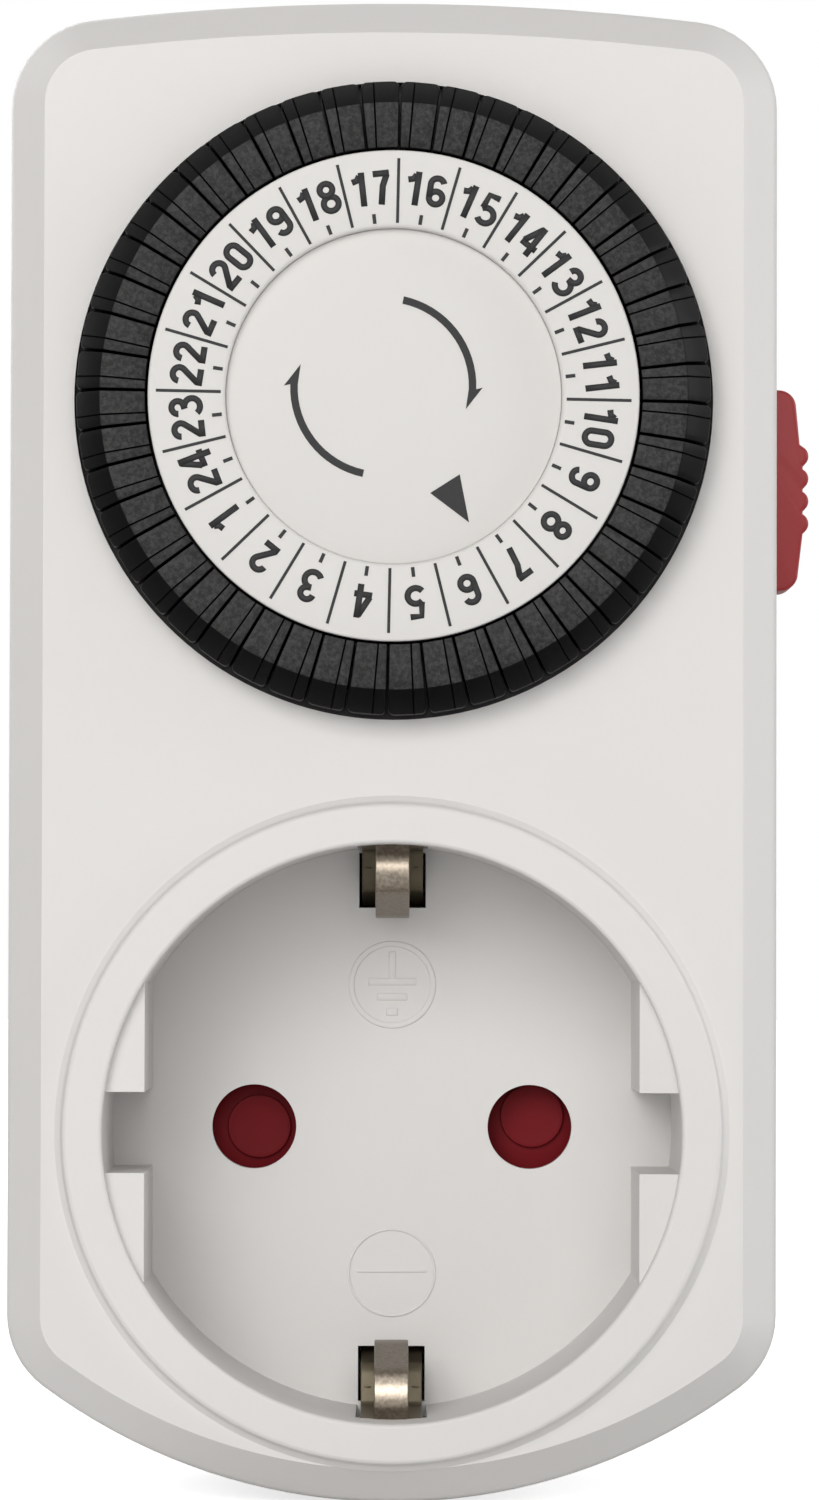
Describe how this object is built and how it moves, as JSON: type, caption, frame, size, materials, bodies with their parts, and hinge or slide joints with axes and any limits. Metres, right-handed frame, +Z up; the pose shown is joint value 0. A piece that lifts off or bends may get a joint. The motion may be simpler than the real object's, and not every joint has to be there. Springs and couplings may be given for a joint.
{
  "type": "plug in timer switch",
  "caption": "Plug-in mechanical timer switch: a turning dial with press-in trippers above an earthed round socket, a slide switch on its side and a round two-pin plug behind",
  "frame": {"origin": "centre of the plug's flat face, on the axis midway between the two pins", "axes": "+Y along the pins into the wall, +Z up, +X to the right seen from the front"},
  "size_m": [0.0547, 0.0764, 0.1008],
  "materials": {
    "housing": "fine satin moulded polycarbonate",
    "screw": "zinc plated steel",
    "plate": "glass filled nylon",
    "dial": "satin black moulded plastic",
    "print_white": "satin white plastic with dark grey print",
    "gear": "natural acetal",
    "axle": "ground steel",
    "can": "drawn steel can",
    "brass": "stamped brass",
    "lead_brown": "PVC insulation",
    "lead_blue": "PVC insulation",
    "spring": "spring steel",
    "slide": "satin red plastic",
    "shutter": "dark red plastic",
    "carrier": "thermoset moulding",
    "earth": "nickel plated spring steel",
    "pin": "nickel plated brass"
  },
  "bodies": {
    "housing": {"front_cover": "housing", "rear_cover": "housing", "housing_screws": "screw", "mechanism_plate": "plate", "plate_screw": "screw", "centre_disc": "print_white", "idler_axle": "axle", "motor_can": "can", "motor_end_plate": "can", "motor_screws": "screw", "motor_lead_live": "lead_brown", "motor_lead_neutral": "lead_blue", "lever_pin": "axle", "lever_spring": "spring", "fixed_contact": "brass", "slide_spring": "spring", "shutter_spring": "spring", "contact_carrier": "carrier", "live_socket_contact": "brass", "neutral_socket_contact": "brass", "earth_fingers": "earth", "plug_earth_contacts": "earth", "live_pin": "pin", "neutral_pin": "pin", "plug_insert": "carrier"},
    "dial": {"dial_carrier": "dial", "number_ring": "print_white"},
    "idler": {"idler_gear": "gear"},
    "motor_output": {"motor_pinion": "brass"},
    "follower": {"follower_lever": "gear"},
    "contact_blade": {"moving_contact": "brass"},
    "override": {"override_slide": "slide"},
    "socket_shutter": {"shutter": "shutter"},
    "tripper_hour_01": {"tripper_hour_01": "dial"},
    "tripper_hour_02": {"tripper_hour_02": "dial"},
    "tripper_hour_03": {"tripper_hour_03": "dial"},
    "tripper_hour_04": {"tripper_hour_04": "dial"},
    "tripper_hour_05": {"tripper_hour_05": "dial"},
    "tripper_hour_06": {"tripper_hour_06": "dial"},
    "tripper_hour_07": {"tripper_hour_07": "dial"},
    "tripper_hour_08": {"tripper_hour_08": "dial"},
    "tripper_hour_09": {"tripper_hour_09": "dial"},
    "tripper_hour_10": {"tripper_hour_10": "dial"},
    "tripper_hour_11": {"tripper_hour_11": "dial"},
    "tripper_hour_12": {"tripper_hour_12": "dial"},
    "tripper_hour_13": {"tripper_hour_13": "dial"},
    "tripper_hour_14": {"tripper_hour_14": "dial"},
    "tripper_hour_15": {"tripper_hour_15": "dial"},
    "tripper_hour_16": {"tripper_hour_16": "dial"},
    "tripper_hour_17": {"tripper_hour_17": "dial"},
    "tripper_hour_18": {"tripper_hour_18": "dial"},
    "tripper_hour_19": {"tripper_hour_19": "dial"},
    "tripper_hour_20": {"tripper_hour_20": "dial"},
    "tripper_hour_21": {"tripper_hour_21": "dial"},
    "tripper_hour_22": {"tripper_hour_22": "dial"},
    "tripper_hour_23": {"tripper_hour_23": "dial"},
    "tripper_hour_24": {"tripper_hour_24": "dial"}
  },
  "joints": [
    {"name": "dial_spin", "type": "hinge", "parent": "housing", "child": "dial", "pos_m": [0, -0.05, 0.0489], "axis": [0, 1, 0], "continuous": true},
    {"name": "idler_spin", "type": "hinge", "parent": "housing", "child": "idler", "pos_m": [-0.0123, -0.0425, 0.0612], "axis": [0, 1, 0], "continuous": true},
    {"name": "motor_output_spin", "type": "hinge", "parent": "housing", "child": "motor_output", "pos_m": [-0.0027, -0.04, 0.0612], "axis": [0, 1, 0], "continuous": true},
    {"name": "follower_swing", "type": "hinge", "parent": "housing", "child": "follower", "pos_m": [-0.012, -0.0456, 0.0261], "axis": [0, 0, 1], "range_deg": [0, 5.5], "stiffness_Nm_per_rad": 0.002, "springref_deg": -5.73},
    {"name": "contact_flex", "type": "hinge", "parent": "housing", "child": "contact_blade", "pos_m": [-0.001, -0.0348, 0.0264], "axis": [0, 0, 1], "range_deg": [0, 9.9]},
    {"name": "override_shift", "type": "slide", "parent": "housing", "child": "override", "axis": [0, 0, -1], "range_m": [0, 0.004]},
    {"name": "shutter_turn", "type": "hinge", "parent": "housing", "child": "socket_shutter", "pos_m": [0, -0.033, 0], "axis": [0, 1, 0], "range_deg": [0, 35], "stiffness_Nm_per_rad": 0.001, "springref_deg": -11.46},
    {"name": "press_hour_01", "type": "slide", "parent": "dial", "child": "tripper_hour_01", "axis": [0, 1, 0], "range_m": [0, 0.0019]},
    {"name": "press_hour_02", "type": "slide", "parent": "dial", "child": "tripper_hour_02", "axis": [0, 1, 0], "range_m": [0, 0.0019]},
    {"name": "press_hour_03", "type": "slide", "parent": "dial", "child": "tripper_hour_03", "axis": [0, 1, 0], "range_m": [0, 0.0019]},
    {"name": "press_hour_04", "type": "slide", "parent": "dial", "child": "tripper_hour_04", "axis": [0, 1, 0], "range_m": [0, 0.0019]},
    {"name": "press_hour_05", "type": "slide", "parent": "dial", "child": "tripper_hour_05", "axis": [0, 1, 0], "range_m": [0, 0.0019]},
    {"name": "press_hour_06", "type": "slide", "parent": "dial", "child": "tripper_hour_06", "axis": [0, 1, 0], "range_m": [0, 0.0019]},
    {"name": "press_hour_07", "type": "slide", "parent": "dial", "child": "tripper_hour_07", "axis": [0, 1, 0], "range_m": [0, 0.0019]},
    {"name": "press_hour_08", "type": "slide", "parent": "dial", "child": "tripper_hour_08", "axis": [0, 1, 0], "range_m": [0, 0.0019]},
    {"name": "press_hour_09", "type": "slide", "parent": "dial", "child": "tripper_hour_09", "axis": [0, 1, 0], "range_m": [0, 0.0019]},
    {"name": "press_hour_10", "type": "slide", "parent": "dial", "child": "tripper_hour_10", "axis": [0, 1, 0], "range_m": [0, 0.0019]},
    {"name": "press_hour_11", "type": "slide", "parent": "dial", "child": "tripper_hour_11", "axis": [0, 1, 0], "range_m": [0, 0.0019]},
    {"name": "press_hour_12", "type": "slide", "parent": "dial", "child": "tripper_hour_12", "axis": [0, 1, 0], "range_m": [0, 0.0019]},
    {"name": "press_hour_13", "type": "slide", "parent": "dial", "child": "tripper_hour_13", "axis": [0, 1, 0], "range_m": [0, 0.0019]},
    {"name": "press_hour_14", "type": "slide", "parent": "dial", "child": "tripper_hour_14", "axis": [0, 1, 0], "range_m": [0, 0.0019]},
    {"name": "press_hour_15", "type": "slide", "parent": "dial", "child": "tripper_hour_15", "axis": [0, 1, 0], "range_m": [0, 0.0019]},
    {"name": "press_hour_16", "type": "slide", "parent": "dial", "child": "tripper_hour_16", "axis": [0, 1, 0], "range_m": [0, 0.0019]},
    {"name": "press_hour_17", "type": "slide", "parent": "dial", "child": "tripper_hour_17", "axis": [0, 1, 0], "range_m": [0, 0.0019]},
    {"name": "press_hour_18", "type": "slide", "parent": "dial", "child": "tripper_hour_18", "axis": [0, 1, 0], "range_m": [0, 0.0019]},
    {"name": "press_hour_19", "type": "slide", "parent": "dial", "child": "tripper_hour_19", "axis": [0, 1, 0], "range_m": [0, 0.0019]},
    {"name": "press_hour_20", "type": "slide", "parent": "dial", "child": "tripper_hour_20", "axis": [0, 1, 0], "range_m": [0, 0.0019]},
    {"name": "press_hour_21", "type": "slide", "parent": "dial", "child": "tripper_hour_21", "axis": [0, 1, 0], "range_m": [0, 0.0019]},
    {"name": "press_hour_22", "type": "slide", "parent": "dial", "child": "tripper_hour_22", "axis": [0, 1, 0], "range_m": [0, 0.0019]},
    {"name": "press_hour_23", "type": "slide", "parent": "dial", "child": "tripper_hour_23", "axis": [0, 1, 0], "range_m": [0, 0.0019]},
    {"name": "press_hour_24", "type": "slide", "parent": "dial", "child": "tripper_hour_24", "axis": [0, 1, 0], "range_m": [0, 0.0019]}
  ],
  "couplings": [
    {"joint": "idler_spin", "follows": "dial_spin", "ratio": -4.8},
    {"joint": "motor_output_spin", "follows": "dial_spin", "ratio": 10.56},
    {"joint": "contact_flex", "follows": "follower_swing", "ratio": 1.7857}
  ]
}
